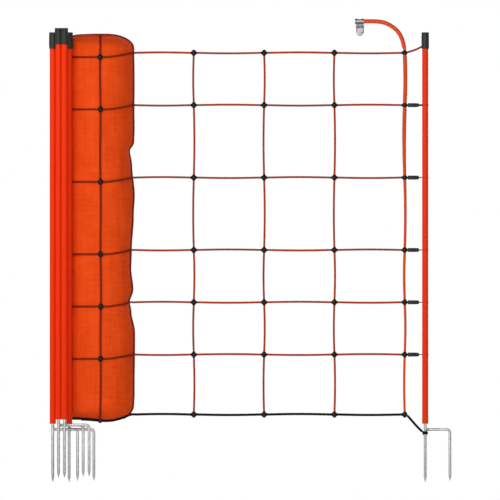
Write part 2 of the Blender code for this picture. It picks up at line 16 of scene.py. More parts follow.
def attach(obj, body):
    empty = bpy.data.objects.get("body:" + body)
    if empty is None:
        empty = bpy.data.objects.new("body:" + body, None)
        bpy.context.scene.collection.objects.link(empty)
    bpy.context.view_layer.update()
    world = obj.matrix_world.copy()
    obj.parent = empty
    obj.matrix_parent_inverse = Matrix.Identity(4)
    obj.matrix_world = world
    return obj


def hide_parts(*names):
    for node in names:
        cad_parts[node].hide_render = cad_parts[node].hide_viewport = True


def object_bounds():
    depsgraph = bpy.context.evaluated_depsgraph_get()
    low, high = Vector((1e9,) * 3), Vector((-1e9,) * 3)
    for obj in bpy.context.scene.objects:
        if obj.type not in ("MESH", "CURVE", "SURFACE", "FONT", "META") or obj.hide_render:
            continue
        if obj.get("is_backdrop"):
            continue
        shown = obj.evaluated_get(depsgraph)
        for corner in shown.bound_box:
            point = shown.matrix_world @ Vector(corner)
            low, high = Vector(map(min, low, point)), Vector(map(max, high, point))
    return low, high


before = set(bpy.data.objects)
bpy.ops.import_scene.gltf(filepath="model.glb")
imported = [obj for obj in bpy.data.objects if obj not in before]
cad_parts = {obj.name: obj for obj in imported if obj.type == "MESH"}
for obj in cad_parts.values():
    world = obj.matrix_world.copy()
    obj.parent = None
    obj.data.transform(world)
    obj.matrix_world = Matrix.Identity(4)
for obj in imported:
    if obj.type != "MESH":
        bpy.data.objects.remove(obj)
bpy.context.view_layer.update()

# %% [markdown]
# ## The sizes that every piece shares
#
# All lengths are metres. The net hangs in the XZ plane, and the roll's axis is the Z axis.
# We keep the heights of the seven rows and the places of the four columns in one cell,
# because twines, beads, ties and posts all line up on them.

# %% Sizes
ROWS = (0.041, 0.190, 0.320, 0.450, 0.630, 0.810, 0.940)
COLUMNS = (0.2332, 0.4080, 0.5828, 0.7576)
HINGE = 0.0857  # where the open net leaves the roll
END_POST = 0.8085
STORED_POSTS = (
    (-0.1173, -0.060477, 0.0), (-0.1032, -0.073509, 0.0107),
    (-0.0885, -0.085860, 0.0107), (-0.0766, -0.052827, 0.0),
)
TWINE = 0.0028  # outside radius of a row or column twine
GROUND_TWINE = 0.0033  # the thick black twine along the ground
BEAD = 0.0067
POST = 0.0077
SPIKE = 0.00375
FLOOR = -0.127
print("net", COLUMNS[-1] - HINGE, "m long and", ROWS[-1] - ROWS[0], "m high")

# %% [markdown]
# ## Camera
#
# The net is shown straight from the front, with no perspective, so the camera is
# orthographic. Its scale is the width of the view in metres. An orthographic camera shows
# the true proportions of the cells, and that is how a net is drawn in a catalogue.

# %% Camera
VIEW_WIDTH = 1.243
camera_data = bpy.data.cameras.new("front view")
camera_data.type = "ORTHO"
camera_data.ortho_scale = VIEW_WIDTH
camera_data.clip_end = 20
camera = bpy.data.objects.new("front view", camera_data)
bpy.context.scene.collection.objects.link(camera)
camera.location = (0.3729, -3.0, 0.4499)
camera.rotation_euler = (math.pi / 2, 0, 0)
bpy.context.scene.camera = camera
print("camera shows", VIEW_WIDTH, "m")

# %% [markdown]
# ## Helpers for selecting and shading
#
# An operator works on all that is selected, so each step begins by deselecting everything.
# A colour is written as the hex value that a colour picker shows, and one function turns it
# into the linear numbers that a shader needs. One small function adds a node.


# %% Selecting
def deselect_all():
    if bpy.context.mode != "OBJECT":
        bpy.ops.object.mode_set(mode="OBJECT")
    bpy.ops.object.select_all(action="DESELECT")


def only(piece):
    """Select one piece and make it active."""
    deselect_all()
    piece.select_set(True)
    bpy.context.view_layer.objects.active = piece


def edit_all(mode):
    """Edit the active piece's vertices or faces, all of them selected."""
    bpy.ops.object.mode_set(mode="EDIT")
    bpy.ops.mesh.select_mode(type=mode)
    bpy.ops.mesh.select_all(action="SELECT")


deselect_all()


# %% Colour and nodes
def linear(hex_colour):
    """The linear red, green, blue and alpha of an sRGB hex colour."""
    shares = [int(hex_colour[n : n + 2], 16) / 255 for n in (1, 3, 5)]
    curve = [c / 12.92 if c <= 0.04045 else ((c + 0.055) / 1.055) ** 2.4 for c in shares]
    return (*curve, 1.0)


def add_node(tree, kind, settings=None, inputs=None):
    """Add a node. An input given as another node's output is linked, and a value is set."""
    node = tree.nodes.new(kind)
    for key, value in (settings or {}).items():
        setattr(node, key, value)
    for key, value in (inputs or {}).items():
        if isinstance(value, bpy.types.NodeSocket):
            tree.links.new(value, node.inputs[key])
        else:
            node.inputs[key].default_value = value
    return node


def new_material(name, roughness, metallic=0.0, **sockets):
    """A material with its shader. The other sockets are set by name."""
    made = bpy.data.materials.new(name)
    made.use_nodes = True
    tree = made.node_tree
    shader = tree.nodes["Principled BSDF"]
    shader.inputs["Roughness"].default_value = roughness
    shader.inputs["Metallic"].default_value = metallic
    for key, value in sockets.items():
        shader.inputs[key.replace("_", " ")].default_value = value
    return made, tree, shader


def blend_colours(tree, share, low, high):
    """A colour between two hex colours, by a share from 0 to 1."""
    mixer = add_node(tree, "ShaderNodeMix", {"data_type": "RGBA"}, {0: share})
    mixer.inputs[6].default_value = linear(low)
    mixer.inputs[7].default_value = linear(high)
    return mixer.outputs[2]


def spread_over(tree, share, low, high):
    """A number between low and high, by a share from 0 to 1."""
    return add_node(
        tree, "ShaderNodeMapRange", None, {"Value": share, "To Min": low, "To Max": high}
    ).outputs[0]


def add_noise(tree, place, scale, **more):
    """Noise at a place, with so many bumps to a metre."""
    inputs = {"Vector": place, "Scale": scale, **more}
    return add_node(tree, "ShaderNodeTexNoise", None, inputs).outputs[0]


def stretched(tree, place, scale):
    """A place with each axis scaled on its own."""
    inputs = {"Vector": place, "Scale": scale}
    return add_node(tree, "ShaderNodeMapping", None, inputs).outputs[0]


def finish_shader(tree, shader, colour, height, strength, depth):
    """Link a colour, and a bump of a depth in metres, to the shader."""
    tree.links.new(colour, shader.inputs["Base Color"])
    inputs = {"Height": height, "Strength": strength, "Distance": depth}
    bump = add_node(tree, "ShaderNodeBump", None, inputs)
    tree.links.new(bump.outputs[0], shader.inputs["Normal"])


print("helpers ready")

# %% [markdown]
# ## Finishes
#
# The posts are extruded, UV-proof polypropylene: an even orange with a low shine and very
# faint lines along the post from the die. The lines are noise that is stretched a hundred times along Z,
# fed to a bump node, so that a highlight breaks up a little but the outline stays clean.

# %% Post plastic: extruded polypropylene
post_plastic, tree, shader = new_material(
    "extruded orange polypropylene", 0.4, IOR=1.49, Specular_IOR_Level=0.1
)
place = add_node(tree, "ShaderNodeTexCoord").outputs["Object"]
grain = add_noise(tree, stretched(tree, place, (900, 900, 9)), 1.0)
colour = blend_colours(tree, grain, "#E32E03", "#EE3A07")
finish_shader(tree, shader, colour, grain, 0.25, 0.00006)
print(post_plastic.name)

# %% [markdown]
# Caps, sleeves and beads are black polyethylene from a mould. It is not quite black: the
# pigment leaves a dark grey, the mould a fine satin grain of about half a millimetre, and
# handling makes parts of it a little duller than the rest.


# %% Moulded black polyethylene
def moulded_black(name, low, high, roughness, grain_size):
    made, tree, shader = new_material(name, roughness, IOR=1.51, Specular_IOR_Level=0.25)
    place = add_node(tree, "ShaderNodeTexCoord").outputs["Object"]
    scuffs = add_noise(tree, place, 140.0)
    dull = spread_over(tree, scuffs, roughness - 0.06, roughness + 0.10)
    tree.links.new(dull, shader.inputs["Roughness"])
    grain = add_noise(tree, place, 1 / grain_size)
    colour = blend_colours(tree, scuffs, low, high)
    finish_shader(tree, shader, colour, grain, 0.2, 0.0001)
    return made


cap_plastic = moulded_black("moulded grey-black polyethylene", "#242523", "#30312E", 0.42, 0.0005)
bead_plastic = moulded_black("moulded black polyethylene", "#0B0C08", "#17180F", 0.36, 0.0004)
print(cap_plastic.name, "and", bead_plastic.name)

# %% [markdown]
# The spikes are mild steel, dipped in molten zinc after welding. Zinc freezes in crystals a
# few millimetres wide, each with its own grey, and that is a Voronoi pattern. The metal is
# dull, so the highlights are broad.

# %% Hot-dip zinc
zinc, tree, shader = new_material("hot-dip zinc on steel", 0.42, 1.0)
place = add_node(tree, "ShaderNodeTexCoord").outputs["Object"]
crystals = add_node(tree, "ShaderNodeTexVoronoi", None, {"Vector": place, "Scale": 260.0})
shade = add_node(tree, "ShaderNodeSeparateColor", None, {"Color": crystals.outputs["Color"]})
colour = blend_colours(tree, shade.outputs[0], "#B6B8BA", "#D2D4D6")
tree.links.new(spread_over(tree, shade.outputs[1], 0.30, 0.42), shader.inputs["Roughness"])
finish_shader(tree, shader, colour, add_noise(tree, place, 900.0), 0.12, 0.0001)
print(zinc.name)

# %% [markdown]
# The clip is stamped from stainless sheet and tumbled to a satin grey. Rolling left it with
# fine lines along the sheet, which stretch each highlight.

# %% Stamped stainless steel
clip_steel, tree, shader = new_material("stamped stainless steel", 0.26, 1.0)
place = add_node(tree, "ShaderNodeTexCoord").outputs["Object"]
scratch = add_noise(tree, stretched(tree, place, (3000, 3000, 120)), 1.0)
tree.links.new(spread_over(tree, scratch, 0.20, 0.38), shader.inputs["Roughness"])
colour = blend_colours(tree, scratch, "#7E7E80", "#989898")
finish_shader(tree, shader, colour, scratch, 0.2, 0.00004)
print(clip_steel.name)

# %% [markdown]
# A twine is three strands of polyethylene thread, twisted together. The twist is real
# geometry, further down. The material adds what is finer: the threads of each strand, drawn
# as stripes round the twine's own UV map, and a fuzz that makes the plastic look dry.


# %% Twisted polyethylene twine
def twisted_twine(name, low, high, roughness):
    made, tree, shader = new_material(name, roughness, IOR=1.5, Specular_IOR_Level=0.15)
    uv = add_node(tree, "ShaderNodeUVMap", {"uv_map": "around"}).outputs[0]
    # 24 threads show round the twine, and a thread's shade drifts every 8 mm along it
    threads = add_noise(tree, stretched(tree, uv, (24, 120, 1)), 1.0)
    finish_shader(tree, shader, blend_colours(tree, threads, low, high), threads, 0.4, 0.0002)
    return made


orange_twine = twisted_twine("twisted orange polyethylene twine", "#962C04", "#B83E0C", 0.6)
# the same twine for the roll, in a darker copy: painted shade
painted_shade_twine = twisted_twine("orange polyethylene twine in painted shade", "#761800", "#922806", 0.6)
black_twine = twisted_twine("twisted black polyethylene twine", "#030303", "#0B0B0B", 0.6)
feeder_rope = twisted_twine("twisted orange feeder rope", "#D03E0C", "#E64E16", 0.5)
print(orange_twine.name, painted_shade_twine.name, black_twine.name, feeder_rope.name)

# %% [markdown]
# The lead is a soft, high-voltage cable. Its orange sheath is extruded over a twisted core, so the twist
# shows through as soft slanting ridges, drawn as a bump. The light and shade of those ridges are also
# painted into the colour, as lighter and darker slanting bands. The stripes follow the cable's UV map:
# one turn round it for every 24 mm along it.

# %% Lead sheath: extruded soft PVC
lead_sheath, tree, shader = new_material(
    "extruded orange PVC sheath", 0.42, IOR=1.52, Specular_IOR_Level=0.25
)
uv = add_node(tree, "ShaderNodeUVMap", {"uv_map": "around"}).outputs[0]
parts = add_node(tree, "ShaderNodeSeparateXYZ", None, {"Vector": uv})
slant = add_node(
    tree, "ShaderNodeMath", {"operation": "MULTIPLY_ADD"}, {0: parts.outputs[1], 1: 41.7}
)
tree.links.new(parts.outputs[0], slant.inputs[2])
angle = add_node(
    tree, "ShaderNodeMath", {"operation": "MULTIPLY"}, {0: slant.outputs[0], 1: 4 * math.pi}
)
wave = add_node(tree, "ShaderNodeMath", {"operation": "SINE"}, {0: angle.outputs[0]})
soft = add_node(tree, "ShaderNodeMapRange", None, {"Value": wave.outputs[0], "From Min": -1.0})
# painted highlight and shade of the twist's ridges: lighter and darker slanting bands
colour = blend_colours(tree, soft.outputs[0], "#D2400E", "#E64A16")
finish_shader(tree, shader, colour, soft.outputs[0], 0.35, 0.0004)
print(lead_sheath.name)

# %% [markdown]
# The roll is some forty metres of the same net, wound so tight that it reads as one orange
# body. From close by, it is thousands of twine ends side by side. We draw them as two sets
# of soft stripes on the roll's own UV map, one along the wrap and one up it, with a pitch
# of 7 mm. The real pitch is nearer 3 mm, which is too fine to show at this size.

# %% Wound net
wound_net, tree, shader = new_material(
    "wound orange polyethylene net", 0.7, IOR=1.5, Specular_IOR_Level=0.02
)
uv = add_node(tree, "ShaderNodeUVMap", {"uv_map": "around"}).outputs[0]
place = add_node(tree, "ShaderNodeTexCoord").outputs["Object"]
wander = add_noise(tree, place, 22.0)
along = add_noise(tree, stretched(tree, uv, (12, 130, 1)), 1.0, Detail=3.0)
across = add_noise(tree, stretched(tree, uv, (75, 7, 1)), 1.0, Detail=3.0)
weave = add_node(tree, "ShaderNodeMath", {"operation": "ADD"}, {0: along, 1: across}).outputs[0]
mixed = add_node(tree, "ShaderNodeMath", {"operation": "ADD"}, {0: weave, 1: wander}).outputs[0]
reach = {"Value": mixed, "From Min": 1.1, "From Max": 1.9}
share = add_node(tree, "ShaderNodeMapRange", None, reach)
colour = blend_colours(tree, share.outputs[0], "#DA4410", "#EC511B")
finish_shader(tree, shader, colour, weave, 0.25, 0.0008)
print(wound_net.name)

# %% [markdown]
# ## Sweeping a section along a path
#
# Twine, cord and bent wire are all one section carried along a path. A curve with a bevel
# could do that, but we also want the section to turn as it goes, both ends closed, and a UV
# map that runs round and along the twine. So we write the sweep ourselves. Each ring's frame
# is the last ring's, tilted as little as possible, which keeps the twist even.


# %% Paths and sections
def smooth_path(points, spacing):
    """Points at an even spacing on a smooth curve through the given points."""
    knots = [Vector(p) for p in points]
    ends = [2 * knots[0] - knots[1]] + knots + [2 * knots[-1] - knots[-2]]
    fine = []
    for a, b, c, d in zip(ends, ends[1:], ends[2:], ends[3:]):
        steps = max(2, 2 * math.ceil((c - b).length / spacing))
        for n in range(steps):
            t = n / steps
            bend = (2 * a - 5 * b + 4 * c - d) * t**2 + (3 * b - a - 3 * c + d) * t**3
            fine.append(b + ((c - a) * t + bend) / 2)
    fine.append(knots[-1])
    runs = [0.0]
    for a, b in zip(fine, fine[1:]):
        runs.append(runs[-1] + (b - a).length)
    count = max(2, round(runs[-1] / spacing))
    even = []
    here = 0
    for n in range(count + 1):
        want = runs[-1] * n / count
        while here < len(runs) - 2 and runs[here + 1] < want:
            here += 1
        gap = runs[here + 1] - runs[here]
        share = min(1.0, (want - runs[here]) / gap) if gap else 0.0
        even.append(fine[here].lerp(fine[here + 1], share))
    return even


def path_length(points):
    return sum((b - a).length for a, b in zip(points, points[1:]))


def round_section(sides):
    return [(2 * math.pi * n / sides, 1.0) for n in range(sides)]


DOME_TURNS = (0.45, 0.9, 1.35)  # the rings of a rounded end, in radians from the side
# Three strands side by side: full at a strand's crown and pinched in between two strands.
# The feeder is laid harder, so its strands hardly show.
TWISTED = [(math.pi / 6 * n, (1.0, 0.93, 0.80, 0.93)[n % 4]) for n in range(12)]
SOFT = [(math.pi / 6 * n, (1.0, 0.98, 0.95, 0.98)[n % 4]) for n in range(12)]
print("a twisted section has", len(TWISTED), "points")


# %% Sweep
def new_piece(name, vertices, faces, marks, material):
    """A smooth mesh with a UV map, in the scene."""
    mesh = bpy.data.meshes.new(name)
    mesh.from_pydata(vertices, [], faces)
    mesh.uv_layers.new(name="around").data.foreach_set("uv", marks)
    mesh.polygons.foreach_set("use_smooth", [True] * len(faces))
    mesh.materials.append(material)
    piece = bpy.data.objects.new(name, mesh)
    bpy.context.scene.collection.objects.link(piece)
    return piece


def swept(name, path, radius, section, material, lay=None, widths=None, closed=False, dome=True):
    """Carry a section along a path. It turns once in each lay, and its ends are rounded."""
    points = [Vector(p) for p in path]
    last = len(points) - 1
    sizes = [radius * w for w in (widths or [1.0] * len(points))]
    rings = []
    run = 0.0
    for n, point in enumerate(points):
        if closed:
            ahead, behind = points[(n + 1) % (last + 1)], points[n - 1]
        else:
            ahead, behind = points[min(n + 1, last)], points[max(n - 1, 0)]
        if n:
            run += (point - points[n - 1]).length
        rings.append((point, (ahead - behind).normalized(), sizes[n], run))
    if dome and not closed:
        first, final = rings[0], rings[-1]
        for turn in DOME_TURNS:
            shrink, out = math.cos(turn), math.sin(turn)
            rings.insert(0, (first[0] - first[1] * first[2] * out, first[1], first[2] * shrink, first[3]))
            rings.append((final[0] + final[1] * final[2] * out, final[1], final[2] * shrink, final[3]))
    side = rings[0][1].orthogonal().normalized()
    vertices = []
    for point, forward, size, run in rings:
        side = (side - forward * side.dot(forward)).normalized()
        across = forward.cross(side)
        twist = 2 * math.pi * run / lay if lay else 0.0
        for angle, share in section:
            a = angle + twist
            vertices.append(point + (side * math.cos(a) + across * math.sin(a)) * size * share)
    around = len(section)
    faces = []
    marks = []
    count = len(rings) if closed else len(rings) - 1
    for n in range(count):
        here, there = n * around, (n + 1) % len(rings) * around
        low = rings[n][3]
        high = rings[n + 1][3] if n + 1 < len(rings) else low + 0.001
        for m in range(around):
            k = (m + 1) % around
            faces.append((here + m, here + k, there + k, there + m))
            left, right = m / around, (m + 1) / around
            marks += [left, low, right, low, right, high, left, high]
    if not closed:
        faces.append(tuple(reversed(range(around))))
        faces.append(tuple(range(len(vertices) - around, len(vertices))))
        marks += [0.5, 0.0] * (2 * around)
    return new_piece(name, vertices, faces, marks, material)


# %% Joining, copying and placing
def joined(name, pieces):
    """Several pieces as one. The first gives its place in the scene."""
    only(pieces[0])
    for piece in pieces[1:]:
        piece.select_set(True)
    if len(pieces) > 1:
        bpy.ops.object.join()
    pieces[0].name = name
    pieces[0].data.name = name
    deselect_all()
    return pieces[0]


def copy_at(piece, name, offset):
    """A copy with its own mesh, moved in the mesh itself."""
    made = bpy.data.objects.new(name, piece.data.copy())
    made.data.name = name
    made.data.transform(Matrix.Translation(offset))
    bpy.context.scene.collection.objects.link(made)
    return made


def drop(piece):
    """Remove a pattern piece once its copies are made."""
    bpy.data.objects.remove(piece)


def dress(piece, body, slot, *nodes):
    """The piece follows a body, and these nodes of the frame are hidden so that it shows in their place.
    The slot is not used.
    """
    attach(piece, body)
    if nodes:
        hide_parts(*nodes)
    return piece


print("sweep ready")

# %% [markdown]
# ## The roll
#
# Wound net is soft. It is a drum with one round shoulder, flatter on the side of the posts,
# and it has sunk in where it was tied and pushed. A lathe would make it perfectly round, so
# we write its surface as a function instead: give it a direction and a level, and it returns
# a point. Levels 0 to 1 climb the side, 1 to 2 cross the top to its middle, and 0 to -1 cross
# the bottom. The twines on the roll use the same function, so they always lie on it.

# %% Roll shape
ROLL = 0.0833
ROLL_BOTTOM = 0.025
ROLL_TOP = 0.984
CORNER_LEVELS = 0.6  # the share of the top or bottom that is the rounded corner
FOOT_RISE = 0.040  # the side begins this far above the bottom, and less on the left
HEAD_DROP = 0.032
LEFT_REACH = 0.012  # how much longer the side is at each end on the left
SHOULDER = 0.060  # how far in the rounded corner reaches
LEFT_SHOULDER = 0.030
BELLY = 0.0045  # how far the bottom rises towards the posts
DOME = 0.0022  # how much higher the top's middle is than its shoulder
WAVE = 0.00035
# the outline on the open net's side, as height and radius
SIDE_OUTLINE = (
    (0.025, 0.0822), (0.062, 0.0826), (0.090, 0.0845), (0.245, 0.0845),
    (0.296, 0.0757), (0.3205, 0.0718), (0.352, 0.0812), (0.404, 0.0748),
    (0.450, 0.0758), (0.532, 0.0822), (0.584, 0.0845), (0.659, 0.0772),
    (0.6975, 0.0718), (0.718, 0.0832), (0.750, 0.0845), (0.810, 0.0835),
    (0.984, 0.0833),
)
# soft dents elsewhere: direction and height of the middle, reach round and up, depth
DENTS = (
    (70, 0.52, 26, 0.050, 0.0055),
    (112, 0.80, 24, 0.035, 0.0060),
    (135, 0.24, 30, 0.045, 0.0065),
    (165, 0.60, 22, 0.060, 0.0045),
    (90, 0.33, 20, 0.025, 0.0040),
    (185, 0.86, 20, 0.040, 0.0040),
    (190, 0.40, 22, 0.050, 0.0045),
    (292, 0.675, 16, 0.060, 0.0012),
)


def eased(t):
    t = min(1.0, max(0.0, t))
    return t * t * (3 - 2 * t)


def looked_up(table, at, ease=None):
    """The value at a place, from a table of places and values."""
    for (place1, value1), (place2, value2) in zip(table, table[1:]):
        if at <= place2:
            share = (at - place1) / (place2 - place1)
            return value1 + (value2 - value1) * (ease(share) if ease else share)
    return table[-1][1]


def from_direction(turn, middle):
    """Degrees between two directions, the short way round."""
    return abs((turn - middle + 180) % 360 - 180)


def side_radius(turn, height):
    """The roll's radius in a direction, in degrees from +X, at a height on its side."""
    near = eased(1 - from_direction(turn, 0) / 58)
    radius = ROLL + (looked_up(SIDE_OUTLINE, height, eased) - ROLL) * near
    for middle, level, reach, rise, depth in DENTS:
        spread = (from_direction(turn, middle) / reach) ** 2 + ((height - level) / rise) ** 2
        radius -= depth * math.exp(-spread)
    # slack layers: shallow upright waves, calm on the front
    front = 1 - 0.75 * eased(1 - from_direction(turn, 270) / 75)
    a = math.radians(turn)
    wave = math.sin(9 * a + 5 * math.sin(7 * height)) + math.sin(16 * a + 31 * height)
    return radius - WAVE * front * (2 + wave)


def side_ends(turn):
    """Where the roll's side begins and ends in a direction, and how far it faces -X."""
    left = max(0.0, -math.cos(math.radians(turn))) ** 1.5
    low = ROLL_BOTTOM + FOOT_RISE - LEFT_REACH * left
    return low, ROLL_TOP - HEAD_DROP + LEFT_REACH * left, left


def roll_point(turn, level):
    """A point of the roll's surface."""
    a = math.radians(turn)
    low, high, left = side_ends(turn)
    shoulder = SHOULDER - (SHOULDER - LEFT_SHOULDER) * left
    height = low + (high - low) * min(1.0, max(0.0, level))
    radius = side_radius(turn, height)
    beyond = max(-level, level - 1, 0.0)
    if beyond:
        end, edge = (ROLL_BOTTOM, low) if level < 0 else (ROLL_TOP, high)
        core = radius - shoulder
        bend = math.pi / 2 * max(0.0, 1 - beyond / CORNER_LEVELS)
        radius = core + shoulder * math.sin(bend)
        height = end + (edge - end) * (1 - math.cos(bend))
        if beyond > CORNER_LEVELS:
            radius = core * (1 - beyond) / (1 - CORNER_LEVELS)
        share = min(1.0, beyond / CORNER_LEVELS)
        if level < 0:
            height += BELLY * share * (1 - math.exp(min(0.0, radius * math.cos(a)) / 0.03))
        else:
            height -= DOME * share * (radius / SHOULDER) ** 2
    return Vector((radius * math.cos(a), radius * math.sin(a), height))


def side_level(turn, height):
    """The level that has a height on the roll's side."""
    low, high, _ = side_ends(turn)
    return (height - low) / (high - low)


def above_roll(turn, level, lift):
    """A point that far off the roll's surface."""
    here = roll_point(turn, level)
    round_it = roll_point(turn + 0.5, level) - roll_point(turn - 0.5, level)
    up_it = roll_point(turn, level + 0.003) - roll_point(turn, level - 0.003)
    return here + round_it.cross(up_it).normalized() * lift


print("roll radius", round(side_radius(0, 0.3205), 4), "to", round(side_radius(0, 0.75), 4))

# %% Roll body
AROUND = 144
levels = [-1 + 0.1 * n for n in range(4)]
levels += [-CORNER_LEVELS + CORNER_LEVELS * n / 10 for n in range(10)]
levels += [n / 150 for n in range(151)]
levels += [1 + CORNER_LEVELS * (n + 1) / 10 for n in range(10)]
levels += [1.7, 1.8, 1.9, 2.0]
rings = levels[1:-1]
vertices = [Vector((0, 0, ROLL_BOTTOM))]
for level in rings:
    vertices += [roll_point(360 * n / AROUND, level) for n in range(AROUND)]
vertices.append(Vector((0, 0, ROLL_TOP)))
faces = []
marks = []
for k in range(len(rings) + 1):
    for n in range(AROUND):
        m = (n + 1) % AROUND
        left, right = n / AROUND, (n + 1) / AROUND
        low = rings[max(k - 1, 0)]
        high = rings[min(k, len(rings) - 1)]
        if k == 0:
            faces.append((0, 1 + m, 1 + n))
            marks += [left, -1.0, right, high, left, high]
        elif k == len(rings):
            start = 1 + (k - 1) * AROUND
            faces.append((start + n, start + m, len(vertices) - 1))
            marks += [left, low, right, low, left, 2.0]
        else:
            start = 1 + (k - 1) * AROUND
            above = start + AROUND
            faces.append((start + n, start + m, above + m, above + n))
            marks += [left, low, right, low, right, high, left, high]
roll_body = new_piece("roll_body", vertices, faces, marks, wound_net)
dress(roll_body, "net_roll", "wound_net", "net_roll")
print("roll body", len(faces), "faces")

# %% [markdown]
# ## The bead at a crossing
#
# Each crossing is held by a bead, moulded in place round the two twines. A mould has two
# halves, and they leave a thin raised line round the bead. We start from a sphere with its
# poles front and back, pull out the ring of faces between the halves, and add the necks
# where the upright twine comes out. The bead is made once and copied to every crossing.


# %% Bead
NECK_STEPS = (0.0, 0.0008, 0.0015, 0.0020)
NECK_WIDTHS = (1, 0.95, 0.89, 0.81)


def neck(name, start, direction, size=0.0036):
    """A short tapered collar where a twine comes out of a bead."""
    points = [Vector(start) + Vector(direction) * t for t in NECK_STEPS]
    section = round_section(14)
    return swept(name, points, size, section, bead_plastic, widths=NECK_WIDTHS, dome=False)


def make_bead(name):
    deselect_all()
    bpy.ops.mesh.primitive_uv_sphere_add(
        segments=28, ring_count=15, radius=BEAD, rotation=(math.pi / 2, 0, 0)
    )
    bead = bpy.context.object
    bpy.ops.object.transform_apply(location=True, rotation=True, scale=True)
    edit_all("FACE")
    bpy.ops.transform.resize(value=(1.0, 0.93, 1.0))
    bpy.ops.mesh.select_all(action="DESELECT")
    bpy.ops.object.mode_set(mode="OBJECT")
    for face in bead.data.polygons:
        face.select = abs(face.center.y) < 0.0003
    bpy.ops.object.mode_set(mode="EDIT")
    bpy.ops.mesh.inset(thickness=0.0003, use_boundary=True)
    bpy.ops.mesh.extrude_region_move()
    bpy.ops.transform.resize(value=(1.045, 0.7, 1.045))
    bpy.ops.object.mode_set(mode="OBJECT")
    bpy.ops.object.shade_smooth_by_angle(angle=math.radians(50))
    bead.data.materials.append(bead_plastic)
    necks = [neck("neck", (0, 0, BEAD * 0.88 * way), (0, 0, way)) for way in (1, -1)]
    return joined(name, [bead, *necks])


bead = make_bead("bead pattern")
print("bead", len(bead.data.polygons), "faces")

# %% [markdown]
# ## The open net
#
# Between two beads a row twine sags or lifts by a millimetre, because nothing pulls it
# quite straight. It ends in a small collar at each bead. The collars ride with the row, so
# the row still meets its bead when the net is folded.

# %% Rows of the open net
BOW = 0.0012
LAY = 0.012  # one twist of the row and column twines
INSET = 0.0082  # a row twine's rounded end begins this far from a column
GROUND_LAY = 0.02
ROW_NECK = 0.0036
GROUND_NECK = 0.0042
for panel in range(4):
    collars = []
    for row, height in enumerate(ROWS):
        start = HINGE if panel == 0 else COLUMNS[panel - 1] + INSET
        end = COLUMNS[panel] - INSET
        bow = BOW * (-1) ** (panel + row)
        ideal = []
        for n in range(9):
            t = n / 8
            ideal.append((start + (end - start) * t, 0.0, height + bow * math.sin(math.pi * t)))
        name = f"row_{row + 1}_panel_{panel + 1}"
        if row:
            twine = swept(name, smooth_path(ideal, 0.001), TWINE, TWISTED, orange_twine, LAY)
        else:
            path = smooth_path(ideal, 0.0015)
            twine = swept(name, path, GROUND_TWINE, TWISTED, black_twine, GROUND_LAY)
        slot = "net_twine" if row else "bottom_twine"
        dress(twine, f"net_panel_{panel + 1}", slot, f"net_{name}")
        size = ROW_NECK if row else GROUND_NECK
        near = COLUMNS[panel] - BEAD * 0.9
        collars.append(neck("collar", (near, 0, height), (-1, 0, 0), size=size))
        if panel:
            far = COLUMNS[panel - 1] + BEAD * 0.9
            collars.append(neck("collar", (far, 0, height), (1, 0, 0), size=size))
    collars = joined(f"row_collars_panel_{panel + 1}", collars)
    dress(collars, f"net_panel_{panel + 1}", "bottom_twine")
print("rows", len(ROWS) * 4)

# %% [markdown]
# The upright twines are the same make. The last one is the feeder: a rope that joins all
# rows to the lead, thin at the ground and as thick as the lead at the top.

# %% Columns of the open net
LEAN = 0.0015
FEEDER = ((0.041, 0.0029), (0.574, 0.0037), (0.748, 0.0052), (0.940, 0.0054))  # height, radius
FEEDER_LAY = 0.03
PINCH = 0.6  # what is left of its size inside a bead
for column, x in enumerate(COLUMNS):
    route = []
    for row, (low, high) in enumerate(zip(ROWS, ROWS[1:])):
        for t in (0.0, 0.25, 0.5, 0.75):
            lean = LEAN * (-1) ** (column + row) * math.sin(math.pi * t)
            route.append((x + lean, 0.0, low + (high - low) * t))
    route.append((x, 0.0, ROWS[-1]))
    body = f"net_panel_{column + 1}"
    if column < 3:
        path = smooth_path(route, 0.001)
        name = f"column_{column + 1}"
        twine = swept(name, path, TWINE, TWISTED, orange_twine, LAY)
        dress(twine, body, "net_twine", f"net_{name}")
    else:
        path = smooth_path(route, 0.0012)
        # the rope is pinched where a bead is moulded on it
        near = [min(abs(p.z - z) for z in ROWS) for p in path]
        pinch = [PINCH + (1 - PINCH) * eased(d / 0.010) for d in near]
        widths = [looked_up(FEEDER, p.z) * share for p, share in zip(path, pinch)]
        twine = swept("feeder_rope", path, 1.0, SOFT, feeder_rope, FEEDER_LAY, widths)
        dress(twine, body, "lead", "feeder_twine")
    copies = [copy_at(bead, "bead", (x, 0, z)) for z in ROWS]
    beads = joined(f"beads_column_{column + 1}", copies)
    dress(beads, body, "bottom_twine")
print("columns", len(COLUMNS))

# %% [markdown]
# ## Twines on the roll
#
# The last turn of the net shows on the roll as seven lines, with three upright twines round it and a
# fourth along the edge where the open net leaves. The orange ones are a darker copy of the open net's
# twine: painted shade. Each row comes out from under the turn before, goes once round, and rises to where
# the open net begins. The ground twine follows the lower corner.

# %% Rows on the roll
DROP = 0.0105  # how much lower the net lies on the roll than where it hangs open


CLIMB_START = 0.020  # where a row begins to rise on the front, measured along X
CLIMB_RUN = 0.063


def climb(turn):
    """How far a row has risen in a direction, from 0 to 1."""
    if turn <= 270:
        return 0.0
    x = ROLL * math.cos(math.radians(turn))
    return max(0.0, (x - CLIMB_START) / CLIMB_RUN) ** 1.2


def row_on_roll(height):
    """One turn of a row round the roll, up to where the open net begins."""
    route = []
    for n in range(89):
        turn = 9 + n * 4 * 343 / 352
        lift = TWINE * (0.75 - 2.6 * eased(1 - n / 4))
        level = side_level(turn, height - DROP * (1 - climb(turn)))
        route.append(above_roll(turn, level, lift))
    route.append(Vector((HINGE - 0.0035, -0.0022, height)))
    route.append(Vector((HINGE, 0.0, height)))
    return smooth_path(route, 0.0012)


for row, height in enumerate(ROWS[1:]):
    name = f"roll_row_{row + 2}"
    twine = swept(name, row_on_roll(height), TWINE * 0.9, TWISTED, painted_shade_twine, LAY)
    dress(twine, "net_roll", "net_twine")

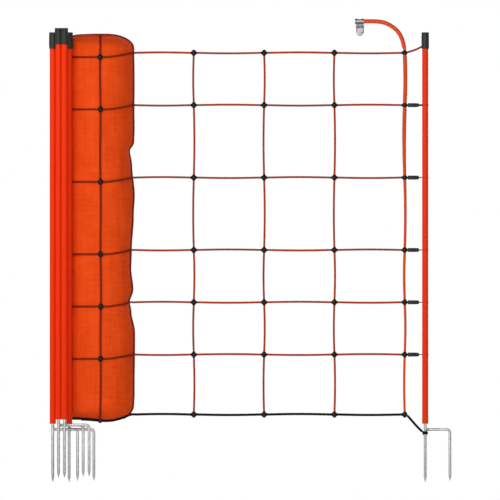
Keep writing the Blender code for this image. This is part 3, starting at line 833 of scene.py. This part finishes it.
# the ground twine's place round the lower corner, as direction and the bend at that place
CORNER_ROUTE = (
    (12, 50), (60, 48), (120, 44), (180, 38), (225, 33), (240, 29),
    (255, 25), (270, 23), (290, 19), (311, 22), (333, 41), (352, 52),
)


def corner_level(turn):
    """The level of the ground twine in a direction."""
    return -CORNER_LEVELS * (1 - looked_up(CORNER_ROUTE, turn) / 90)


route = []
for n in range(86):
    turn = 12 + n * 4
    lift = GROUND_TWINE * (0.7 - 2.4 * eased(1 - n / 4))
    route.append(above_roll(turn, corner_level(turn), lift))
route.append(Vector((HINGE - 0.004, -0.002, ROWS[0] + 0.0005)))
route.append(Vector((HINGE, 0.0, ROWS[0])))
path = smooth_path(route, 0.0016)
ground = swept("roll_row_1", path, GROUND_TWINE, TWISTED, black_twine, GROUND_LAY)
dress(ground, "net_roll", "bottom_twine")
print("ground twine on the roll", round(path_length(path), 3), "m")

# %% Columns and beads on the roll
def wandering(column, middle, level):
    """The direction of an upright twine at a level: it wanders, but not at its ends."""
    wobble = 0.4 * math.sin(5.1 * level + column * 2) + 0.4 * math.sin(25 * level + column)
    fade = eased((1.5 - level) * 4) * eased((level + 0.6) * 4)
    return middle + wobble * fade


roll_beads = []
for column, middle in enumerate((270.7, 150, 52)):
    route = []
    for n in range(61):
        level = corner_level(middle) + (1.5 - corner_level(middle)) * n / 60
        route.append(above_roll(wandering(column, middle, level), level, TWINE * 0.7))
    path = smooth_path(route, 0.0012)
    twine = swept(f"roll_column_{column + 1}", path, TWINE, TWISTED, painted_shade_twine, LAY)
    dress(twine, "net_roll", "net_twine")
    for row, height in enumerate(ROWS):
        if row:
            level = side_level(middle, height - DROP * (1 - climb(middle)))
        else:
            level = corner_level(middle)
        # the ground twine's beads are under the roll, apart from the front one
        if row or column == 0:
            lift = BEAD * (0.45 if row else 0.1)
            place = above_roll(wandering(column, middle, level), level, lift)
            roll_beads.append(copy_at(bead, "bead", place))
roll_beads = joined("roll_beads", roll_beads)
dress(roll_beads, "net_roll", "bottom_twine")
print("roll beads", len(roll_beads.data.polygons), "faces")

# the last upright twine lies along the edge where the net leaves, and over the top
EDGE_UP = 352
EDGE_DOWN = 181
EDGE_FIRST = -0.35  # its level at the foot, on the lower corner
EDGE_TOP = 1.95  # its level where it crosses the middle of the top
climbing = EDGE_TOP - EDGE_FIRST
route = [above_roll(EDGE_UP, EDGE_FIRST + climbing * n / 360, TWINE * 0.6) for n in range(361)]
route += [above_roll(EDGE_DOWN, EDGE_TOP - 0.95 * n / 60, TWINE * 0.6) for n in range(61)]
path = smooth_path(route, 0.0015)
edge_twine = swept("roll_edge_twine", path, TWINE * 0.9, TWISTED, painted_shade_twine, LAY)
dress(edge_twine, "net_roll", "net_twine")
print("edge twine laid")

# %% [markdown]
# From above and below, the roll shows its turns: one edge twine, wound in a spiral. We lay
# it half sunk into the surface, orange on top and black underneath, where the ground row is.

# %% Spirals on the roll's ends
for name, first, last, material, slot in (
    ("roll_top_spiral", 1.46, 1.93, orange_twine, "net_twine"),
    ("roll_bottom_spiral", -0.62, -0.93, black_twine, "bottom_twine"),
):
    route = []
    turns = 6 if first > 0 else 4
    steps = turns * 24
    for n in range(steps + 1):
        level = first + (last - first) * n / steps
        route.append(above_roll(360 * turns * n / steps, level, 0.0002))
    path = smooth_path(route, 0.002)
    spiral = swept(name, path, TWINE, TWISTED, material, LAY * 1.5)
    dress(spiral, "net_roll", slot)
    print(name, round(path_length(path), 2), "m")

# %% [markdown]
# ## Turning on a lathe
#
# Posts, caps, sleeves and spikes are round. We draw half of the section as a chain of
# vertices, each extruded from the last, and spin it about the Z axis. Where the chain starts
# or ends on the axis, or meets its own start, merging the doubles closes the shape.


# %% Lathe
def turned(name, profile, sides, material, smooth=40):
    """Spin a profile of radius and height about Z."""
    deselect_all()
    bpy.ops.mesh.primitive_plane_add(size=0.01)
    piece = bpy.context.object
    edit_all("VERT")
    bpy.ops.mesh.merge(type="CENTER")
    bpy.ops.transform.translate(value=(profile[0][0], 0, profile[0][1]))
    for (r1, z1), (r2, z2) in zip(profile, profile[1:]):
        step = {"value": (r2 - r1, 0, z2 - z1)}
        bpy.ops.mesh.extrude_vertices_move(TRANSFORM_OT_translate=step)
    bpy.ops.mesh.select_all(action="SELECT")
    bpy.ops.mesh.spin(steps=sides, angle=2 * math.pi, center=(0, 0, 0), axis=(0, 0, 1))
    bpy.ops.mesh.select_all(action="SELECT")
    bpy.ops.mesh.remove_doubles(threshold=0.000002)
    bpy.ops.mesh.normals_make_consistent(inside=False)
    bpy.ops.object.mode_set(mode="OBJECT")
    bpy.ops.object.shade_smooth_by_angle(angle=math.radians(smooth))
    piece.name = name
    piece.data.name = name
    piece.data.materials.append(material)
    return piece


def applied(piece, kind, **settings):
    """Add a modifier with these settings and apply it."""
    only(piece)
    modifier = piece.modifiers.new(kind.lower(), kind)
    for key, value in settings.items():
        setattr(modifier, key, value)
    bpy.ops.object.modifier_apply(modifier=modifier.name)


print("lathe ready")

# %% [markdown]
# ## Posts
#
# The tube is extruded plastic, cut to length, with its cut edges broken. Its bore is open at
# the foot, where the spike is pushed in.

# %% Post tube
FOOT = 0.018
TOP = 0.9872
BORE = SPIKE + 0.0003
EDGE = 0.0006
tube = turned(
    "tube pattern",
    [
        (BORE, FOOT),
        (POST - EDGE, FOOT),
        (POST - EDGE / 3, FOOT + EDGE / 3),
        (POST, FOOT + EDGE),
        (POST, TOP - EDGE),
        (POST - EDGE, TOP),
        (BORE, TOP),
        (BORE, FOOT),
    ],
    48,
    post_plastic,
)
print("tube", len(tube.data.polygons), "faces")

# %% [markdown]
# The cap is a moulded cup that closes the tube and holds the top row. It has a rounded
# crown, a groove under it, and a slot in its rim for the top twine. The slot is a Boolean
# cut with a box, and a small bevel breaks the edges that the cut leaves.

# %% Post cap
CAP = 0.00945
CROWN = TOP + 0.004
RIM = CROWN - 0.041
INSIDE = POST + 0.0003
cap = turned(
    "cap pattern",
    [
        (0.0, CROWN),
        (CAP - 0.0020, CROWN),
        (CAP - 0.0010, CROWN - 0.0003),
        (CAP - 0.0003, CROWN - 0.0010),
        (CAP, CROWN - 0.0020),
        (CAP, CROWN - 0.0048),
        (CAP - 0.0006, CROWN - 0.0054),
        (CAP - 0.0006, CROWN - 0.0066),
        (CAP, CROWN - 0.0072),
        (CAP, RIM + 0.0006),
        (CAP - 0.0005, RIM),
        (INSIDE, RIM),
        (INSIDE, TOP + 0.0003),
        (0.0, TOP + 0.0003),
    ],
    48,
    cap_plastic,
)
deselect_all()
bpy.ops.mesh.primitive_cube_add(size=1.0)
cutter = bpy.context.object
cutter.data.transform(Matrix.Diagonal((0.006, 0.0042, 0.0130, 1.0)))
cutter.data.transform(Matrix.Translation((-CAP, 0, RIM + 0.0020)))
applied(cap, "BOOLEAN", operation="DIFFERENCE", object=cutter, solver="EXACT")
drop(cutter)
applied(cap, "BEVEL", width=0.0003, segments=2, limit_method="ANGLE", angle_limit=math.radians(50))
only(cap)
bpy.ops.object.shade_smooth_by_angle(angle=math.radians(35))
print("cap", len(cap.data.polygons), "faces")

# %% [markdown]
# The twin spike is one straight pin, sharpened like a pencil, and a thinner rod that is
# bent and welded on just under the post: a foot presses it into the ground there. The weld
# is a lumpy ring: a torus whose vertices are nudged at random, with a fixed seed.

# %% Twin spike
pin = turned(
    "pin",
    [
        (0.0, FOOT + 0.060),
        (SPIKE - 0.0006, FOOT + 0.060),
        (SPIKE, FOOT + 0.0594),
        (SPIKE, FLOOR + 0.0135),
        (SPIKE - 0.0003, FLOOR + 0.0120),
        (0.0009, FLOOR + 0.0012),
        (0.0004, FLOOR + 0.0003),
        (0.0, FLOOR),
    ],
    32,
    zinc,
)
PRONG = 0.0615
BAR = 0.0036
BAR_HEIGHT = 0.004
BEND = 0.009
route = [Vector((0, 0, BAR_HEIGHT))]
route += [Vector((x, 0, BAR_HEIGHT)) for x in (0.02, 0.04, PRONG - BEND - 0.001)]
for n in range(13):
    turn = math.pi / 2 * n / 12
    x = PRONG - BEND * (1 - math.sin(turn))
    route.append(Vector((x, 0, BAR_HEIGHT - BEND * (1 - math.cos(turn)))))
PRONG_TIP = -0.124
widths = [1.0] * len(route)
for height, width in (
    (-0.05, 1.0),
    (PRONG_TIP + 0.0135, 1.0),
    (PRONG_TIP + 0.0120, 0.93),
    (PRONG_TIP + 0.0012, 0.22),
    (PRONG_TIP + 0.0002, 0.06),
):
    route.append(Vector((PRONG, 0, height)))
    widths.append(width)
prong = swept("prong", route, BAR, round_section(28), zinc, widths=widths, dome=False)
deselect_all()
bpy.ops.mesh.primitive_torus_add(
    major_radius=BAR + 0.0002,
    minor_radius=0.0012,
    major_segments=28,
    minor_segments=10,
    location=(SPIKE + 0.0002, 0, BAR_HEIGHT),
    rotation=(0, math.pi / 2, 0),
)
weld = bpy.context.object
bpy.ops.object.transform_apply(location=True, rotation=True, scale=True)
bpy.ops.object.mode_set(mode="EDIT")
bpy.ops.mesh.select_all(action="SELECT")
bpy.ops.transform.vertex_random(offset=0.0003, seed=4)
bpy.ops.object.mode_set(mode="OBJECT")
bpy.ops.object.shade_smooth()
weld.data.materials.append(zinc)
spike = joined("spike pattern", [pin, prong, weld])
print("spike", len(spike.data.polygons), "faces")

# %% Place the posts
posts = [("end_post", (END_POST, 0.0, 0.0))]
posts += [(f"stored_post_{n + 1}", place) for n, place in enumerate(STORED_POSTS)]
BODIES = {
    "stored_post_1": "net_roll",
    "stored_post_2": "net_roll",
    "stored_post_3": "stored_post_3",
    "stored_post_4": "stored_post_4",
    "end_post": "end_post",
}
for name, place in posts:
    body = BODIES[name]
    cap_body = "post_ties" if name == "end_post" else body
    dress(copy_at(tube, f"{name}_orange_tube", place), body, "post", f"{name}_tube")
    dress(copy_at(spike, f"{name}_twin_spike", place), body, "spike", f"{name}_spike")
    dress(copy_at(cap, f"{name}_black_cap", place), cap_body, "cap", f"{name}_cap")
for pattern in (tube, cap, spike):
    drop(pattern)
print("posts", len(posts))

# %% [markdown]
# ## Ties of the end post
#
# At five rows, a moulded sleeve leads the twine's end to the post, with a loop round it, so
# that the post can be turned in the loop. The sleeve is a spun shape: a plain barrel, a groove, and
# a taper to the twine. The twine's loop is swept round a circle.

# %% Sleeve ties
SLEEVE_START = COLUMNS[-1] + 0.0073
STEM_FROM = SLEEVE_START + 0.026
STEM_LAY = 0.008
RING = 0.0009  # radius of a loop's twine
barrel = turned(
    "sleeve",
    [
        (0.0, 0.0),
        (0.0040, 0.0),
        (0.0048, 0.0004),
        (0.0051, 0.0014),
        (0.0051, 0.0212),
        (0.0046, 0.0218),
        (0.0046, 0.0226),
        (0.0051, 0.0232),
        (0.0050, 0.0252),
        (0.0042, 0.0268),
        (0.0026, 0.0283),
        (0.0, 0.0283),
    ],
    32,
    cap_plastic,
)
barrel.data.transform(Matrix.Rotation(math.pi / 2, 4, "Y"))
barrel.data.transform(Matrix.Translation((SLEEVE_START, 0, 0)))
LOOP = POST + 0.0003 + RING
circle = []
for n in range(60):
    a = 2 * math.pi * n / 60
    circle.append(Vector((END_POST + LOOP * math.cos(a), LOOP * math.sin(a), 0)))
for n, height in enumerate(ROWS[1:-1]):
    up = Vector((0, 0, height))
    sleeve = copy_at(barrel, "sleeve", up)
    link = neck("link", (COLUMNS[-1] + 0.0058, 0, height), (1, 0, 0), size=0.0026)
    ends = [(STEM_FROM, 0, height), (END_POST - LOOP, 0, height)]
    # the highest sleeve holds a thick black stem, the others a thin orange one
    twine, size = (black_twine, 0.0026) if n == 4 else (orange_twine, 0.0015)
    stem = swept("stem", smooth_path(ends, 0.001), size, TWISTED, twine, STEM_LAY)
    loop = [point + up for point in circle]
    lay = 2 * math.pi * LOOP / 8
    ring = swept("ring", loop, RING, TWISTED, feeder_rope, lay, closed=True)
    tie = joined(f"sleeve_tie_{n + 1}", [sleeve, link, stem, ring])
    dress(tie, "post_ties", "tie", f"post_tie_{n + 1}")
drop(barrel)
print("sleeve ties", 5)

# %% [markdown]
# The top row ends in the slot of the cap. The ground row ends on the spike: it is wound
# round it three times under the crossbar, and one path makes both the strand and the turns.
# The strand is full up to the spike and thinner in the turns, where it is pulled tight.

# %% Top and bottom ties
SLOT = Vector((END_POST - 0.0078, 0, ROWS[-1] + 0.0155))  # where the cap's slot holds it
start = Vector((COLUMNS[-1] + INSET, 0, ROWS[-1] + 0.0018))
sag = (start + SLOT) / 2 - Vector((0, 0, 0.0012))
path = smooth_path((start, sag, SLOT), 0.001)
top_tie = swept("top_row_end", path, TWINE, TWISTED, orange_twine, LAY)
dress(top_tie, "post_ties", "net_twine", "top_tie")

WOUND = 0.00545  # radius of the turns' middle line
WOUND_TWINE = 0.00165  # radius of the twine in the turns
WOUND_TOP = -0.0017
WOUND_DROP = 0.0066
THINNING = 0.007  # the length over which the strand gets thinner, up to the first turn
start = Vector((COLUMNS[-1] + INSET, 0, ROWS[0] - 0.0045))
route = [start, Vector((END_POST - 0.022, 0, 0.0130)), Vector((END_POST - 0.0085, 0, -0.0006))]
for n in range(61):
    a = math.pi + 2 * math.pi * 3 * n / 60
    z = WOUND_TOP - WOUND_DROP * n / 60
    route.append(Vector((END_POST + WOUND * math.cos(a), WOUND * math.sin(a), z)))
path = smooth_path(route, 0.0008)
straight = (route[2] - route[0]).length
widths = []
run = 0.0
for n, point in enumerate(path):
    if n:
        run += (point - path[n - 1]).length
    full = eased(1 - (run - straight * 0.97) / THINNING)
    widths.append(WOUND_TWINE + (GROUND_TWINE - WOUND_TWINE) * full)
bottom_tie = swept("ground_row_end", path, 1.0, TWISTED, black_twine, 0.016, widths)
dress(bottom_tie, "post_ties", "bottom_twine", "bottom_tie")
print("ground row end", round(path_length(path), 3), "m")

# %% [markdown]
# ## The lead
#
# The lead is stiff enough to stand up in an arch from the last column's top bead, and it runs level into
# the crimp of the clip. It is a free cord, laid along a given path. Nearly eleven millimetres thick, it
# bends no tighter than its sheath allows, and it is pinched where the bead is moulded on it.

# %% Lead
LEAD = 0.00535
LEAD_ROUTE = (
    (0.7576, 0.9473), (0.7554, 0.9570), (0.7516, 0.9720), (0.7464, 0.9840),
    (0.7396, 0.9940), (0.7284, 1.0040), (0.7166, 1.0110), (0.7048, 1.0155),
    (0.6920, 1.0178), (0.6800, 1.0184), (0.6660, 1.0184), (0.6530, 1.0184),
    (0.6410, 1.0184),
)
lead_path = smooth_path([(x, 0, z) for x, z in LEAD_ROUTE], 0.002)
pinch = [PINCH + (1 - PINCH) * eased(n / 4) for n in range(len(lead_path))]
lead = swept("lead", lead_path, LEAD, round_section(32), lead_sheath, widths=pinch)
dress(lead, "net_panel_4", "lead", "lead_cable")
print("lead", round(path_length(lead_path), 4), "m")

# %% [markdown]
# ## The clip
#
# The clip is pressed from sheet steel: a crimp that grips the lead, and two jaws that a
# spring closes. The frame's own solids have the right shape, with edges as sharp as a
# drawing. We copy each mesh, merge its loose triangles, melt flat areas back into single
# faces and round every edge with a bevel, as tumbling does to a stamped part. The front of
# the jaw is pressed out inside a flat border, and the spring's wire is drawn a little
# thinner, so that its coils clear the body when the jaw opens.


# %% Clip
SPRING_PLAY = 0.00004
JAW_BORDER = 0.0021
JAW_PRESSED = 0.0013


def rounded_copy(node, name, width, pressed):
    """A node's own mesh, cleaned and with its edges rounded by a bevel of this width."""
    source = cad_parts[node]
    made = bpy.data.objects.new(name, source.data.copy())
    made.data.transform(source.matrix_world)
    bpy.context.scene.collection.objects.link(made)
    made.data.materials.clear()
    made.data.materials.append(clip_steel)
    only(made)
    bpy.ops.object.mode_set(mode="EDIT")
    bpy.ops.mesh.select_all(action="SELECT")
    bpy.ops.mesh.remove_doubles(threshold=0.000005)
    bpy.ops.mesh.dissolve_limited(angle_limit=math.radians(3))
    if node == "clip_spring":
        bpy.ops.transform.shrink_fatten(value=-SPRING_PLAY)
    if pressed:
        bpy.ops.mesh.select_mode(type="FACE")
        bpy.ops.mesh.select_all(action="DESELECT")
        bpy.ops.object.mode_set(mode="OBJECT")
        front = min(face.center.y for face in made.data.polygons if face.area > 0.00005)
        for face in made.data.polygons:
            face.select = face.normal.y < -0.99 and abs(face.center.y - front) < 0.0001
        bpy.ops.object.mode_set(mode="EDIT")
        bpy.ops.mesh.inset(thickness=JAW_BORDER, use_boundary=True)
        bpy.ops.transform.translate(value=(0, -pressed, 0))
    bpy.ops.object.mode_set(mode="OBJECT")
    applied(made, "BEVEL", width=width, segments=2, limit_method="ANGLE", angle_limit=math.radians(35))
    only(made)
    bpy.ops.object.shade_smooth_by_angle(angle=math.radians(40))
    applied(made, "WEIGHTED_NORMAL", keep_sharp=True)
    return made


for node, body, width in (
    ("clip_body", "net_panel_4", 0.0003),
    ("clip_jaw", "clip_jaw", 0.0003),
    ("clip_pin", "net_panel_4", 0.0002),
    ("clip_spring", "clip_jaw", 0.00005),
):
    pressed = JAW_PRESSED if node == "clip_jaw" else 0.0
    piece = rounded_copy(node, f"{node}_steel", width, pressed)
    dress(piece, body, "clip", node)

drop(bead)
print("lead length", round(path_length(lead_path), 4))

# %% [markdown]
# ## Floor and light
#
# The floor is plain and pale. A broad soft light in front gives round things a bright middle
# and darker edges, its twin behind does the same for the back, and two weaker ones fill the
# sides. The world is white for the camera, as paper is, but gives only a little light.

# %% Floor
deselect_all()
bpy.ops.mesh.primitive_plane_add(size=12, location=(0.37, 0, FLOOR))
floor = bpy.context.object
floor.name = "floor"
paint, tree, shader = new_material("pale matt floor", 0.9)
shader.inputs["Base Color"].default_value = linear("#F1F0EE")
floor.data.materials.append(paint)
floor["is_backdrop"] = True
print("floor at", FLOOR)


# %% Lights
def soft_light(name, place, size, power):
    """A square soft light that faces the middle of the net."""
    data = bpy.data.lights.new(name, "AREA")
    data.shape = "SQUARE"
    data.size = size
    data.energy = power
    light = bpy.data.objects.new(name, data)
    bpy.context.scene.collection.objects.link(light)
    light.location = place
    aim = Vector((0.37, 0, 0.45)) - Vector(place)
    light.rotation_euler = aim.to_track_quat("-Z", "Y").to_euler()


soft_light("front", (-0.8, -4.3, 1.3), 6.0, 275)
soft_light("back", (1.2, 4.2, 1.4), 6.0, 260)
soft_light("left", (-3.8, 0.0, 1.4), 3.0, 24)
soft_light("right", (4.6, 0.0, 1.4), 3.0, 10)

world = bpy.context.scene.world or bpy.data.worlds.new("studio")
bpy.context.scene.world = world
world.use_nodes = True
tree = world.node_tree
tree.nodes.clear()
dim = add_node(tree, "ShaderNodeBackground", None, {"Color": (1, 1, 1, 1), "Strength": 0.12})
paper = add_node(tree, "ShaderNodeBackground", None, {"Color": (1, 1, 1, 1), "Strength": 1.0})
ray = add_node(tree, "ShaderNodeLightPath")
choice = add_node(tree, "ShaderNodeMixShader", None, {0: ray.outputs["Is Camera Ray"]})
tree.links.new(dim.outputs[0], choice.inputs[1])
tree.links.new(paper.outputs[0], choice.inputs[2])
add_node(tree, "ShaderNodeOutputWorld", None, {"Surface": choice.outputs[0]})
bpy.context.scene.view_settings.view_transform = "Standard"
print("lights 4")

# %% [markdown]
# ## Finish
#
# The dressed model's box is printed.

# %% Sizes and finish
low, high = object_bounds()
print("visual box", [round(v, 4) for v in (*low, *high)])
